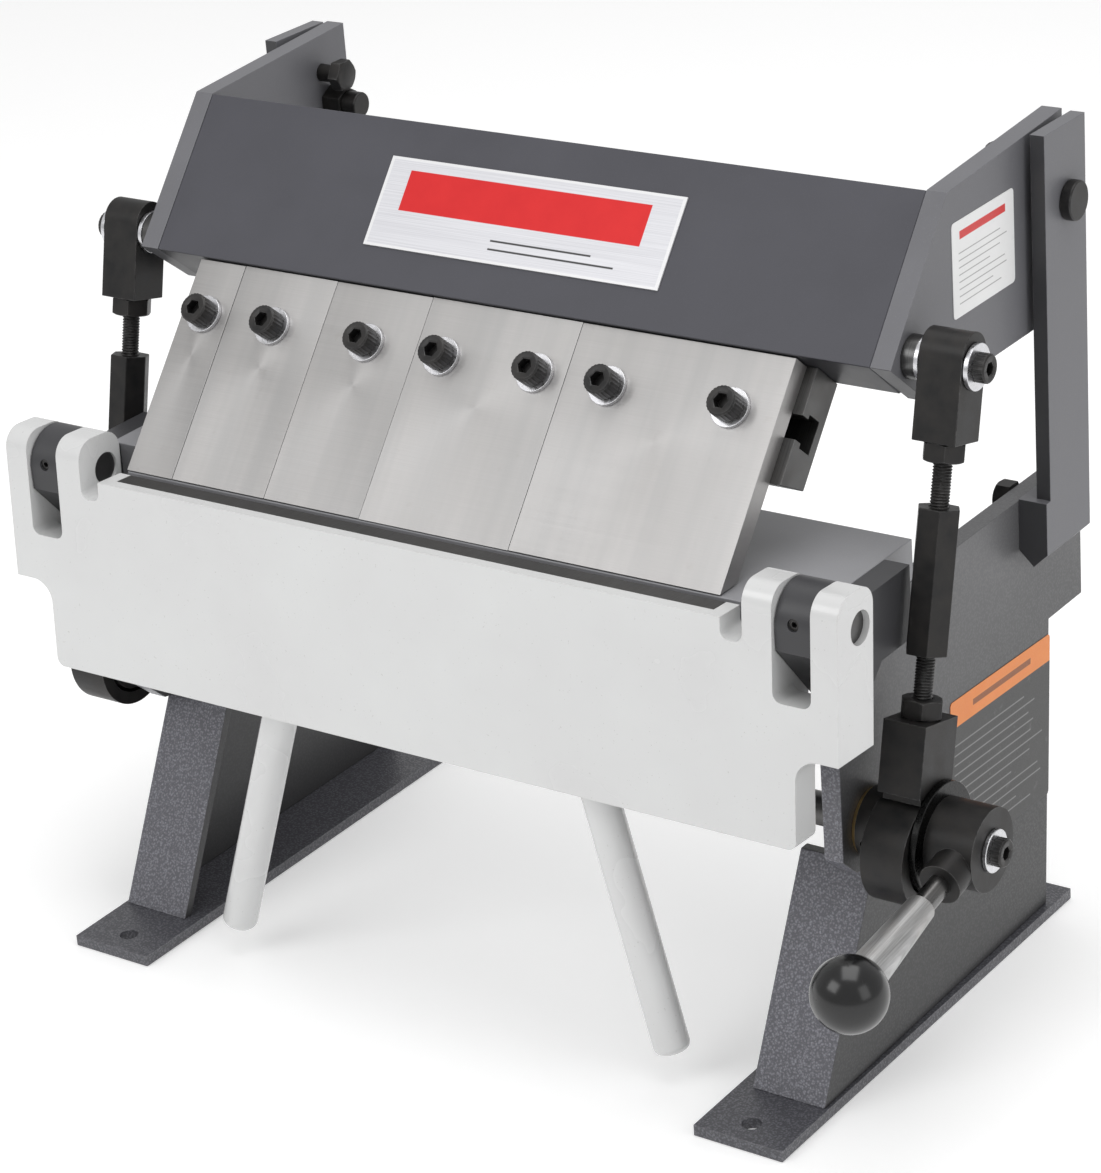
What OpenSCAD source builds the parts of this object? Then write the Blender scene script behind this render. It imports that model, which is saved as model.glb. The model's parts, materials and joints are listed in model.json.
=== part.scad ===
// Bench box-and-pan brake: a swinging apron, a hinged clamping beam with a
// row of removable fingers, two adjustable links and an eccentric lever.
// X runs along the bend, -Y is the operator's side, Z is up.
// The origin is the centre of the four foot bolt holes, on the underside.

/* [Bending set] */
// Widths of the fingers, from left to right
finger_widths = [25.4, 50.8, 50.8, 76.2, 101.6];
// Thickness of a finger
finger_t = 9.8; // [8:0.1:11]
// Slope of the finger faces above the bed, in degrees
slope = 50; // [48:0.5:52]
// Length of a finger along its face
finger_len = 99.6; // [96:0.1:99.7]
// Distance of the clamping screws from the nose, along the face
screw_s = 74.7; // [72:0.1:77]

/* [Bed and frame] */
// Height of the bed's clamping face above the underside
bed_z = 224; // [222:0.5:226]
// Thickness of the bed plate
bed_t = 18; // [16:0.5:20]
// Back edge of the bed
bed_back = 1; // [-5:0.5:6]
// Outer face of the side walls, from the middle
wall_out = 187; // [186.6:0.1:187.4]
// Thickness of the side walls
wall_t = 9; // [7:0.5:10]
// Back edge of the side walls, at the top
wall_back = 115; // [110:1:120]
// Back edge of the wings that carry the uprights
wing_back = 145.5; // [140:0.5:150]
// Thickness of the foot plates
foot_t = 5; // [4:0.5:6]
// Hole spacing across the width
hole_span_x = 333; // [330:0.5:336]
// Hole spacing from front to back
hole_span_y = 216; // [212:1:218]
// Diameter of the foot holes
foot_hole_d = 8.5; // [6:0.5:10]

/* [Apron] */
// Distance of the hinge axis in front of the origin
hinge_front = 81; // [80.5:0.1:81.5]
// Forward tilt of the apron on its stop, in degrees
apron_tilt = 3.6; // [2:0.1:5]
// Height of the apron below its hinge axis
apron_h = 91.5; // [85:0.5:95]
// Half width of the apron's body
apron_half = 191.5; // [190:0.5:193]
// Outer face of the hinge lugs, from the middle
lug_out = 210.9; // [210:0.1:212]
// Length of the fold handles below the apron
handle_drop = 118.5; // [100:0.5:120]
// Splay of the fold handles, in degrees
handle_splay = 16.7; // [12:0.1:20]

/* [Beam and links] */
// Length of the beam's front face along the slope
beam_face = 75; // [70:0.5:78]
// Height of the rear pivots
pivot_z = 333; // [331:0.5:335]
// Height of the upper link pins
link_pin_z = 303; // [302:0.5:305]
// Length across the flats of the hexagon sleeves
sleeve_af = 16; // [14:0.5:17]

/* [Lever] */
// Throw of the eccentrics
throw = 7; // [6:0.1:7]
// Height of the cross shaft
shaft_z = 117; // [116:0.5:118]
// Distance from the shaft to the middle of the knob
lever_r = 98.4; // [90:0.2:105]
// Diameter of the ball knob
knob_d = 30.8; // [26:0.2:34]

/* [Hidden] */
$fn = 48;

// Running and assembly gaps
fit = 0.05;
gap = 0.3;

// Fingers
finger_n = len(finger_widths);
function finger_start(i) = i == 0 ? 0 : finger_start(i - 1) + finger_widths[i - 1];
finger_total = finger_start(finger_n);
finger_shift = -4.9;
finger_left = -finger_total / 2 + finger_shift;
bar_half = finger_total / 2;
nose_setback = 1;
nose_lift = 0.5;
hinge_y = -hinge_front;
hinge_z = bed_z;
nose_y = hinge_y + nose_setback;
nose_z = bed_z + nose_lift;
screw_edge_76 = 14.3;
screw_edge_102 = 21.5;
screw_x = [
    finger_left + finger_widths[0] / 2,
    finger_left + finger_start(1) + finger_widths[1] / 2,
    finger_left + finger_start(2) + finger_widths[2] / 2,
    finger_left + finger_start(3) + screw_edge_76,
    finger_left + finger_start(4) - screw_edge_76,
    finger_left + finger_start(4) + screw_edge_102,
    finger_left + finger_total - screw_edge_102
];
// M8 cap screws on the fingers
screw_r = 4;
screw_head_r = 6.5;
screw_head_h = 8;
screw_socket_af = 6;
washer_r = 8.5;
washer_t = 2;

// Finger bar behind the fingers, in depth behind the face
bar_bottom = 50;
bar_back = 28.5;
groove_mouth = 10;
groove_pocket = 14;
groove_step = 15;
groove_back = 24;
lip_s = 100;
lip_proud = 2;
plate_t = 8;
return_t = 8;
return_back = 28;

// Arms and uprights
arm_in = 181.3;
arm_out = 190.6;
arm_bottom_z = 279.5;
arm_back_y = 127.3;
arm_back_z = 366.6;
pivot_y = 113;
pivot_r = 6;
upright_in = 193.9;
upright_out = 200.4;
upright_front = 93;
upright_back = 128.3;
upright_top = 365.6;
upright_foot_top = 207;
upright_foot_bottom = 183.5;
upright_foot_tip = 6.5;
upright_foot_front = 89.5;

// Side walls and legs
wall_in = wall_out - wall_t;
wall_top = bed_z - bed_t;
leg_t = 5;
leg_in = 152.5;
leg_front_bottom = -85.2;
leg_front_top = -39.1;
leg_top_z = 95;
wall_front = -62;
wall_back_low = 107.7;
wing_z = 141;
foot_in = 146;
foot_out = 188;
foot_front = -120;
foot_back = 124;
foot_out_back = 190.5;

// Hinge
lug_in = 168.5;
slot_in = 181.8;
slot_out = 199;
slot_depth = 30.5;
notch_in = 158.5;
notch_depth = 9;
notch_r = 4;
body_front = 17;
body_back = 2.2;
lug_back = 9.6;
lug_top = 16;
lug_bottom = 52;
lug_round = 9;
pin_r = 7;
pin_sink = 2.5;
block_in = slot_in + 0.6;
block_out = slot_out - 0.6;
block_rear_out = 198.2;
block_r = 15.5;
block_front_drop = 9;
block_foot = 10.7;
block_step = 28;
block_rear_drop = 32;
block_back = 60;
block_drop = 40;
bed_notch = 25.5;
bed_nose = 0.8;
strip_front = 11.5;
strip_t = 5;
step_r = 10;
corner_r = 4;

// Fold handles
handle_r = 7.9;
handle_x = 81;
handle_y = 6;
handle_round = 3.5;
handle_socket = 22;
boss_w = 30;
boss_back = 15.5;
boss_h = 34;

// Links, with distances measured along the link below the upper pin
link_x = 208.5;
link_w = 19.3;
link_in = link_x - link_w / 2;
link_out = link_x + link_w / 2;
link_pin_y = -1;
link_pin_r = 5;
top_block_r = 9.65;
top_block_rise = 3.8;
top_block_len = 30.7;
stud_r = 4;
jam_t = 8;
sleeve_top = 57;
sleeve_len = 59;
strap_block_top = 142;
strap_block_half = 13;
strap_block_len = 30;
eye_r = 23;
ecc_r = 15.5;
eye_gap = 1.7;

// Shaft and lever
shaft_y = -41;
shaft_r = 7;
ecc_angle = 40;
ecc_y = shaft_y - throw * cos(ecc_angle);
ecc_z = shaft_z - throw * sin(ecc_angle);
link_dy = link_pin_y - ecc_y;
link_dz = link_pin_z - ecc_z;
link_len = sqrt(link_dy * link_dy + link_dz * link_dz);
link_lean = atan2(link_dy, link_dz);
bush_r = 11;
bush_flange_r = 14;
bush_flange_t = 1.6;
collar_r = 15.5;
lever_x = 234;
lever_drop = 10.1;
hub_r = 17.5;
hub_in = 221.5;
end_disc_r = 23.5;
left_disc_t = 5;
left_end = link_out + gap + left_disc_t;
hub_out = 243;
hub_boss_r = 8.9;
hub_boss_len = 27;
rod_r = 4.7;
grip_start = 42;
knob_flat = 2.5;
grip_r1 = 6;
grip_r2 = 8.2;

// ---- Helpers -------------------------------------------------------------

// A flat outline in Y and Z, made solid between two values of X
module slab(x0, x1) {
    translate([x0, 0, 0]) rotate([90, 0, 90]) linear_extrude(x1 - x0) children();
}

// A cylinder along X at a given Y and Z
module x_rod(r, x0, x1, y = 0, z = 0) {
    translate([x0, y, z]) rotate([0, 90, 0]) cylinder(r = r, h = x1 - x0);
}

// The children on the right, or mirrored to the left
module sided(side) {
    if (side > 0) children();
    else mirror([1, 0, 0]) children();
}

module both_sides() {
    children();
    mirror([1, 0, 0]) children();
}

// Local Y runs up the finger face and local Z stands out of it
module on_slope() {
    translate([0, nose_y, nose_z]) rotate([slope, 0, 0]) children();
}

// The hinge axis is local X and the clamping face is local Z = 0
module on_apron() {
    translate([0, hinge_y, hinge_z]) rotate([-apron_tilt, 0, 0]) children();
}

// The upper pin is local X and the link hangs down local -Z
module on_link() {
    translate([0, link_pin_y, link_pin_z]) rotate([-link_lean, 0, 0]) children();
}

// A socket-head screw, with the underside of its head at Z = 0
module cap_screw(r, head_r, head_h, len, af) {
    difference() {
        union() {
            cylinder(r = head_r, h = head_h);
            translate([0, 0, -len]) cylinder(r = r, h = len + 1);
        }
        translate([0, 0, head_h * 0.4])
            cylinder(r = af / 2 / cos(30), h = head_h, $fn = 6);
    }
}

module hex_prism(af, h) {
    cylinder(r = af / 2 / cos(30), h = h, $fn = 6);
}

// A hexagon nut with a round bore
module hex_nut(af, h, bore_r) {
    difference() {
        hex_prism(af, h);
        translate([0, 0, -1]) cylinder(r = bore_r, h = h + 2);
    }
}

// ---- Frame ---------------------------------------------------------------

module foot_plate(side) {
    color([0.24, 0.24, 0.26]) sided(side) difference() {
        linear_extrude(foot_t) polygon([
            [foot_in, foot_front], [foot_out, foot_front],
            [foot_out_back, foot_back], [foot_in, foot_back]
        ]);
        for (y = [-hole_span_y / 2, hole_span_y / 2])
            translate([hole_span_x / 2, y, -1])
                cylinder(d = foot_hole_d, h = foot_t + 2);
    }
}

// Side outline of a wall: foot, sloping front, shaft land, bed land and wing
module wall_outline() {
    polygon([
        [leg_front_bottom, foot_t], [wall_back_low, foot_t], [wall_back, wing_z],
        [wing_back, wing_z], [wing_back, wall_top], [wall_front, wall_top],
        [wall_front, shaft_z - 10], [wall_front + 10, shaft_z - 19],
        [leg_front_top, leg_top_z]
    ]);
}

// The sloping front flange, seen from the side
module front_flange_outline() {
    polygon([
        [leg_front_bottom, foot_t], [leg_front_bottom + leg_t, foot_t],
        [leg_front_top + leg_t, leg_top_z], [leg_front_top, leg_top_z]
    ]);
}

module leg(side) {
    color([0.27, 0.27, 0.30]) sided(side) difference() {
        union() {
            slab(wall_in, wall_out) wall_outline();
            slab(leg_in, wall_in) front_flange_outline();
        }
        x_rod(bush_r + fit, wall_in - 1, wall_out + 1, shaft_y, shaft_z);
        for (p = upright_screws_yz)
            x_rod(m8_r + fit, wall_in - 1, wall_out + 1, p[0], p[1]);
    }
}

module bed() {
    color([0.42, 0.42, 0.45]) difference() {
        translate([-wall_out, hinge_y + bed_nose, wall_top])
            cube([2 * wall_out, bed_back - hinge_y - bed_nose, bed_t]);
        both_sides() translate([notch_in - 1.5, hinge_y, wall_top - 1])
            cube([wall_out, bed_notch, bed_t + 2]);
    }
}

// Screws that hold the uprights, from inside the walls
m8_r = 4;
m8_head_af = 13;
m8_head_h = 7.5;
upright_screws_yz = [[103, 200.5], [116, 188]];

module upright(side) {
    color([0.30, 0.30, 0.33]) sided(side) difference() {
        union() {
            translate([upright_in, upright_front, upright_foot_bottom])
                cube([upright_out - upright_in, upright_back - upright_front,
                    upright_top - upright_foot_bottom]);
            translate([wall_out + 0.05, upright_foot_front, 0])
                rotate([90, 0, 0]) mirror([0, 0, 1])
                linear_extrude(upright_back - upright_foot_front) polygon([
                    [0, upright_foot_bottom],
                    [(upright_out - wall_out) / 2, upright_foot_bottom - upright_foot_tip],
                    [upright_out - wall_out - 0.05, upright_foot_bottom],
                    [upright_out - wall_out - 0.05, upright_foot_top],
                    [0, upright_foot_top]
                ]);
        }
        x_rod(pivot_r + fit, upright_in - 1, upright_out + 1, pivot_y, pivot_z);
        for (p = upright_screws_yz)
            x_rod(m8_r + fit, wall_out - 1, upright_out - 3, p[0], p[1]);
    }
}

module upright_screws() {
    color([0.1, 0.1, 0.11]) both_sides() for (p = upright_screws_yz)
        translate([wall_in, p[0], p[1]]) rotate([0, -90, 0]) {
            hex_prism(m8_head_af, m8_head_h);
            translate([0, 0, -wall_t - 10]) cylinder(r = m8_r, h = wall_t + 10.5);
        }
}

// ---- Apron hinge ---------------------------------------------------------

m6_r = 3;
set_screw_r = 2.5;
front_screw_z = -3;
set_screw_sink = 1.2;

module block_outline() {
    circle(r = block_r);
    polygon([
        [-block_r, 0], [-block_r, -block_front_drop],
        [block_foot, -block_drop], [block_step, -block_drop],
        [block_step + 8, -block_rear_drop], [block_back, -block_rear_drop],
        [block_back, -gap], [block_r, -gap], [block_r, 0]
    ]);
}

module hinge_block(side) {
    color([0.25, 0.25, 0.28]) sided(side) difference() {
        translate([0, hinge_y, hinge_z]) slab(block_in, block_out) block_outline();
        // Clear of the wall and the end of the bed
        translate([block_in - 1, hinge_y + bed_notch - gap, hinge_z - block_drop - 1])
            cube([wall_out + 0.05 - block_in + 1, block_back, block_drop + 2]);
        translate([block_in - 1, wall_front - gap, hinge_z - block_drop - 1])
            cube([wall_out + 0.05 - block_in + 1, block_back, block_drop - bed_t + 1.4]);
        // Clear of the link
        translate([block_rear_out, hinge_y + bed_notch, hinge_z - block_drop - 1])
            cube([20, block_back, block_drop + 2]);
        x_rod(pin_r + 0.02, block_in - 1, block_out + 1, hinge_y, hinge_z);
        translate([(block_in + block_out) / 2, hinge_y - block_r - 1, hinge_z - front_screw_z])
            rotate([-90, 0, 0]) cylinder(r = set_screw_r + fit, h = block_r);
    }
}

module hinge_pins() {
    color([0.16, 0.16, 0.17]) both_sides()
        x_rod(pin_r, lug_in + 1, lug_out - pin_sink, hinge_y, hinge_z);
}

module hinge_set_screws() {
    color([0.07, 0.07, 0.08]) both_sides()
        translate([(block_in + block_out) / 2, hinge_y - block_r + set_screw_sink,
            hinge_z - front_screw_z]) rotate([-90, 0, 0]) difference() {
                cylinder(r = set_screw_r, h = block_r - set_screw_sink - pin_r - fit);
                translate([0, 0, -1]) cylinder(r = 1.3, h = 3.5, $fn = 6);
            }
}

// Lug and body outlines, seen from the side in the apron's own frame
module lug_outline() {
    difference() {
        translate([-body_front, -lug_bottom])
            square([body_front + lug_back, lug_bottom + lug_top]);
        translate([-body_front - 1, lug_top - lug_round])
            square([lug_round + 1, lug_round + 1]);
        translate([lug_back - lug_round, lug_top - lug_round])
            square([lug_round + 1, lug_round + 1]);
    }
    translate([-body_front + lug_round, lug_top - lug_round]) circle(r = lug_round);
    translate([lug_back - lug_round, lug_top - lug_round]) circle(r = lug_round);
}

// Front view of the apron's body on one side, in X and Z
module body_half() {
    difference() {
        union() {
            translate([-1, -apron_h]) square([apron_half + 1, apron_h]);
            translate([apron_half - 1, -lug_bottom - step_r]) square([step_r + 1, step_r]);
        }
        // Rounded step below the lug, and rounded bottom corner
        translate([apron_half + step_r, -lug_bottom - step_r]) circle(r = step_r);
        difference() {
            translate([apron_half - corner_r, -apron_h - 1]) square(corner_r + 1);
            translate([apron_half - corner_r, -apron_h + corner_r]) circle(r = corner_r);
        }
    }
}

// Slot around the hinge block, with round corners at the bottom
module slot_outline() {
    translate([slot_in, corner_r - slot_depth]) square([slot_out - slot_in, 100]);
    translate([slot_in + corner_r, -slot_depth])
        square([slot_out - slot_in - 2 * corner_r, 100]);
    for (x = [slot_in + corner_r, slot_out - corner_r])
        translate([x, corner_r - slot_depth]) circle(r = corner_r);
}

// Notch beside the lug, with round corners at the bottom
module notch_outline() {
    translate([notch_in, notch_r - notch_depth]) square([lug_in - notch_in, 100]);
    translate([notch_in + notch_r, -notch_depth])
        square([lug_in - notch_in - 2 * notch_r, 100]);
    for (x = [notch_in + notch_r, lug_in - notch_r])
        translate([x, notch_r - notch_depth]) circle(r = notch_r);
}

module front_cut() {
    rotate([90, 0, 0]) translate([0, 0, -50]) linear_extrude(100) children();
}

module apron() {
    color([0.87, 0.88, 0.88]) on_apron() difference() {
        union() {
            translate([0, -body_back, 0]) rotate([90, 0, 0])
                linear_extrude(body_front - body_back) {
                    body_half();
                    mirror([1, 0]) body_half();
                }
            both_sides() slab(lug_in, lug_out) lug_outline();
            both_sides() translate([handle_x - boss_w / 2, -body_back - 1, -apron_h])
                cube([boss_w, boss_back + body_back + 1, boss_h]);
        }
        both_sides() front_cut() slot_outline();
        both_sides() front_cut() notch_outline();
        // Clear of the hinge block, behind the slot
        both_sides() translate([slot_in, -body_back, -lug_bottom - 1])
            cube([slot_out - slot_in, 50, 100]);
        // Seat of the steel edge strip
        translate([-bar_half, -strip_front, -strip_t])
            cube([2 * bar_half, 50, strip_t + 1]);
        both_sides() x_rod(pin_r + fit, lug_in - 1, lug_out + 1);
        both_sides() handle_axis() translate([0, 0, -4])
            cylinder(r = handle_r + fit, h = handle_socket + 4);
    }
}

module apron_edge_strip() {
    color([0.35, 0.34, 0.36]) on_apron()
        translate([-bar_half, -strip_front, -strip_t])
        cube([2 * bar_half, strip_front - body_back, strip_t]);
}

// Local Z runs up the handle, with Z = 0 at the apron's bottom edge
module handle_axis() {
    translate([handle_x, handle_y, -apron_h]) rotate([0, -handle_splay, 0]) children();
}

module fold_handles() {
    below = handle_drop / cos(handle_splay);
    color([0.87, 0.88, 0.88]) on_apron() both_sides() handle_axis()
        translate([0, 0, -below]) rotate_extrude() {
            square([handle_r - handle_round, below + handle_socket]);
            translate([0, handle_round])
                square([handle_r, below + handle_socket - handle_round - 1]);
            translate([handle_r - handle_round, handle_round]) circle(r = handle_round);
        }
}

// ---- Beam and fingers ----------------------------------------------------

module finger(i) {
    x0 = finger_left + finger_start(i);
    color([0.72, 0.71, 0.73]) on_slope() difference() {
        slab(x0 + 0.1, x0 + finger_widths[i] - 0.1) polygon([
            [0, 0], [finger_len, 0], [finger_len, -finger_t],
            [finger_t / tan(slope), -finger_t]
        ]);
        for (x = screw_x) if (x > x0 && x < x0 + finger_widths[i])
            translate([x, screw_s, -finger_t - 1])
                cylinder(r = screw_r + 0.5, h = finger_t + 2);
    }
}

module finger_washers() {
    color([0.80, 0.80, 0.82]) on_slope() for (x = screw_x)
        translate([x, screw_s, 0]) difference() {
            cylinder(r = washer_r, h = washer_t);
            translate([0, 0, -1]) cylinder(r = screw_r + 0.4, h = washer_t + 2);
        }
}

module finger_screws() {
    color([0.08, 0.08, 0.09]) on_slope() for (x = screw_x)
        translate([x, screw_s, washer_t])
            cap_screw(screw_r, screw_head_r, screw_head_h, washer_t + 23, screw_socket_af);
}

module clamp_nuts() {
    side = groove_pocket - 0.8;
    color([0.2, 0.2, 0.21]) on_slope() for (x = screw_x)
        translate([x, screw_s, -groove_back + 1]) difference() {
            translate([-side / 2, -side / 2, 0])
                cube([side, side, groove_back - groove_step - 1]);
            translate([0, 0, -1]) cylinder(r = screw_r + fit, h = 20);
        }
}

// The bar that backs the fingers, with its T-groove for the clamp nuts
module finger_bar() {
    color([0.20, 0.20, 0.22]) on_slope() slab(-bar_half, bar_half)
        difference() {
            polygon([
                [bar_bottom, -finger_t - 0.05], [lip_s, -finger_t - 0.05],
                [lip_s, -bar_back], [bar_bottom + 4, -bar_back]
            ]);
            translate([screw_s - groove_mouth / 2, -groove_step - 1])
                square([groove_mouth, groove_step]);
            translate([screw_s - groove_pocket / 2, -groove_back])
                square([groove_pocket, groove_back - groove_step]);
        }
}

module beam_plate() {
    color([0.28, 0.28, 0.30]) on_slope() slab(-arm_in, arm_in) {
        translate([lip_s, lip_proud - plate_t]) square([beam_face, plate_t]);
        translate([lip_s, -return_back]) square([return_t, return_back]);
    }
}

function slope_y(s, out) = nose_y + s * cos(slope) - out * sin(slope);
function slope_z(s, out) = nose_z + s * sin(slope) + out * cos(slope);
lock_screw_y = pivot_y - 4.5;
lock_screw_z = pivot_z + 15;

module arm(side) {
    top = lip_s + beam_face;
    color([0.28, 0.28, 0.30]) sided(side) difference() {
        slab(arm_in, arm_out) polygon([
            [slope_y(lip_s, lip_proud), slope_z(lip_s, lip_proud)],
            [slope_y(lip_s, -return_back - 7), arm_bottom_z],
            [arm_back_y, arm_bottom_z], [arm_back_y, arm_back_z],
            [slope_y(top, lip_proud), slope_z(top, lip_proud)]
        ]);
        x_rod(pivot_r + fit, arm_in - 1, arm_out + 1, pivot_y, pivot_z);
        x_rod(link_pin_r + fit, arm_in - 1, arm_out + 1, link_pin_y, link_pin_z);
        x_rod(m8_r + fit, arm_in - 1, arm_out + 1, lock_screw_y, lock_screw_z);
    }
}

pivot_nut_af = 14;

// Pivot bolts: round heads outside the uprights, shanks through the arms
module pivot_bolts() {
    color([0.09, 0.09, 0.10]) both_sides() {
        x_rod(8.5, upright_out, upright_out + 5, pivot_y, pivot_z);
        x_rod(pivot_r, arm_in - 18, upright_out + 1, pivot_y, pivot_z);
    }
}

// Lock nuts on the inner ends, and spacers between arm and upright
module pivot_nuts() {
    color([0.09, 0.09, 0.10]) both_sides() {
        translate([arm_in - gap - 10, pivot_y, pivot_z]) rotate([0, 90, 0])
            hex_nut(pivot_nut_af, 10, pivot_r + 0.02);
        difference() {
            x_rod(10, arm_out + gap, upright_in, pivot_y, pivot_z);
            x_rod(pivot_r + 0.02, arm_out, upright_in + 1, pivot_y, pivot_z);
        }
    }
}

module arm_lock_screws() {
    color([0.09, 0.09, 0.10]) both_sides()
        translate([arm_in, lock_screw_y, lock_screw_z]) rotate([0, -90, 0]) {
            hex_prism(13, 6);
            translate([0, 0, -(arm_out - arm_in)]) cylinder(r = m8_r, h = 24);
        }
}

plate_w = 150;
plate_x = -73;
plate_s0 = 117;
plate_h = 41;
plate_thick = 0.8;

module name_plate() {
    color([0.82, 0.82, 0.84]) on_slope()
        translate([plate_x, plate_s0, lip_proud]) cube([plate_w, plate_h, plate_thick]);
}

// ---- Links ---------------------------------------------------------------

module link_pins() {
    color([0.16, 0.16, 0.17]) both_sides() {
        x_rod(link_pin_r, arm_in, link_out + gap, link_pin_y, link_pin_z);
        x_rod(9, arm_out, link_in - gap - washer_t, link_pin_y, link_pin_z);
    }
}

module link_pin_washers() {
    color([0.80, 0.80, 0.82]) both_sides() {
        difference() {
            x_rod(9.5, link_out + gap, link_out + gap + washer_t, link_pin_y, link_pin_z);
            x_rod(3.2, link_out, link_out + 3, link_pin_y, link_pin_z);
        }
        difference() {
            x_rod(9.5, link_in - gap - washer_t, link_in - gap, link_pin_y, link_pin_z);
            x_rod(link_pin_r + 0.02, arm_out, link_in, link_pin_y, link_pin_z);
        }
    }
}

module link_pin_screws() {
    color([0.08, 0.08, 0.09]) both_sides()
        translate([link_out + gap + washer_t, link_pin_y, link_pin_z]) rotate([0, 90, 0])
        cap_screw(m6_r, 6, 5, washer_t, 5);
}

// Forked end at the beam: a block with a round top, bored for pin and stud
module top_block(side) {
    color([0.12, 0.12, 0.13]) sided(side) on_link() difference() {
        union() {
            x_rod(top_block_r, link_in, link_out, 0, top_block_rise);
            translate([link_in, -top_block_r, -top_block_len])
                cube([link_w, 2 * top_block_r, top_block_len + top_block_rise]);
        }
        x_rod(link_pin_r + fit, link_in - 1, link_out + 1);
        translate([link_x, 0, -top_block_len - 1])
            cylinder(r = stud_r + 0.02, h = 19);
    }
}

module stud(side, from, to) {
    color([0.12, 0.12, 0.13]) sided(side) on_link()
        translate([link_x, 0, -to]) cylinder(r = stud_r, h = to - from);
}

module jam_nuts(side) {
    color([0.12, 0.12, 0.13]) sided(side) on_link()
        for (z = [top_block_len + jam_t, strap_block_top])
            translate([link_x, 0, -z]) hex_nut(sleeve_af, jam_t, stud_r + 0.02);
}

module sleeve(side) {
    color([0.12, 0.12, 0.13]) sided(side) on_link()
        translate([link_x, 0, -sleeve_top - sleeve_len])
        hex_nut(sleeve_af, sleeve_len, stud_r + fit);
}

// Lower end: a block above a round eye that runs on the eccentric
module strap(side) {
    color([0.12, 0.12, 0.13]) sided(side) on_link() difference() {
        union() {
            translate([link_in, -strap_block_half, -strap_block_top - strap_block_len])
                cube([link_w, 2 * strap_block_half, strap_block_len]);
            translate([link_in + 1, -strap_block_half + 3, -link_len])
                cube([link_w - 2, 2 * strap_block_half - 6,
                    link_len - strap_block_top - 1]);
            x_rod(eye_r, link_in, link_out, 0, -link_len);
        }
        x_rod(ecc_r + eye_gap, link_in - 1, link_out + 1, 0, -link_len);
        translate([link_x, 0, -strap_block_top - 20])
            cylinder(r = stud_r + 0.02, h = 21);
    }
}

// ---- Shaft and lever -----------------------------------------------------

module cross_shaft() {
    color([0.16, 0.16, 0.17])
        x_rod(shaft_r, -left_end, hub_out, shaft_y, shaft_z);
}

module eccentric(side) {
    color([0.20, 0.20, 0.21]) sided(side) difference() {
        x_rod(ecc_r, link_in, link_out, ecc_y, ecc_z);
        x_rod(shaft_r + 0.02, link_in - 1, link_out + 1, shaft_y, shaft_z);
    }
}

// Collars that locate the shaft between the walls and the links
module shaft_collars() {
    color([0.11, 0.11, 0.12]) both_sides() difference() {
        x_rod(collar_r, wall_out + bush_flange_t + 2 * gap, link_in - gap, shaft_y, shaft_z);
        x_rod(shaft_r + 0.02, wall_out, link_in, shaft_y, shaft_z);
        translate([(wall_out + bush_flange_t + link_in) / 2, shaft_y, shaft_z])
            rotate([100, 0, 0]) translate([0, 0, 9]) cylinder(r = 2.2, h = 20);
    }
}

module shaft_bushes() {
    color([0.55, 0.45, 0.28]) both_sides() difference() {
        union() {
            x_rod(bush_r, wall_in, wall_out + 0.5, shaft_y, shaft_z);
            x_rod(bush_flange_r, wall_out, wall_out + bush_flange_t, shaft_y, shaft_z);
        }
        x_rod(shaft_r + fit, wall_in - 1, wall_out + 3, shaft_y, shaft_z);
    }
}

// Local Z points along the lever, away from the shaft
module on_lever() {
    translate([lever_x, shaft_y, shaft_z]) rotate([90 + lever_drop, 0, 0]) children();
}

module lever_hub() {
    color([0.11, 0.11, 0.12]) difference() {
        union() {
            x_rod(hub_r, hub_in, hub_out, shaft_y, shaft_z);
            on_lever() cylinder(r = hub_boss_r, h = hub_boss_len);
        }
        x_rod(shaft_r + 0.02, hub_in - 1, hub_out + 1, shaft_y, shaft_z);
        on_lever() translate([0, 0, 11]) cylinder(r = rod_r + 0.02, h = 30);
    }
}

module lever_rod() {
    color([0.20, 0.20, 0.21]) on_lever() translate([0, 0, 11.1])
        cylinder(r = rod_r, h = lever_r - 11.1 - 4);
}

module lever_grip() {
    color([0.20, 0.20, 0.21]) on_lever() translate([0, 0, grip_start]) difference() {
        cylinder(r1 = grip_r1, r2 = grip_r2, h = lever_r - knob_d / 2 + knob_flat - grip_start);
        translate([0, 0, -1]) cylinder(r = rod_r + 0.02, h = 80);
    }
}

module lever_knob() {
    color([0.03, 0.03, 0.03]) on_lever() translate([0, 0, lever_r]) difference() {
        sphere(d = knob_d, $fn = 64);
        translate([0, 0, -knob_d]) cylinder(r = rod_r + 0.02, h = knob_d - 3.9);
        translate([0, 0, -knob_d * 1.5 + knob_flat]) cylinder(r = knob_d, h = knob_d);
    }
}

module shaft_end_washers() {
    color([0.45, 0.45, 0.47]) {
        difference() {
            x_rod(end_disc_r, -left_end, -link_out - gap, shaft_y, shaft_z);
            x_rod(shaft_r + 0.02, -left_end - 1, -link_out, shaft_y, shaft_z);
        }
        difference() {
            x_rod(end_disc_r, link_out + gap, hub_in, shaft_y, shaft_z);
            x_rod(shaft_r + 0.02, link_out, hub_in + 1, shaft_y, shaft_z);
        }
        x_rod(9, hub_out, hub_out + washer_t, shaft_y, shaft_z);
        x_rod(9, -left_end - washer_t, -left_end, shaft_y, shaft_z);
    }
}

module shaft_end_screws() {
    color([0.08, 0.08, 0.09]) {
        translate([hub_out + washer_t, shaft_y, shaft_z]) rotate([0, 90, 0])
            cap_screw(m6_r, 6, 4.5, 0, 5);
        translate([-left_end - washer_t, shaft_y, shaft_z]) rotate([0, -90, 0])
            cap_screw(m6_r, 6, 4.5, 0, 5);
    }
}

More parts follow.
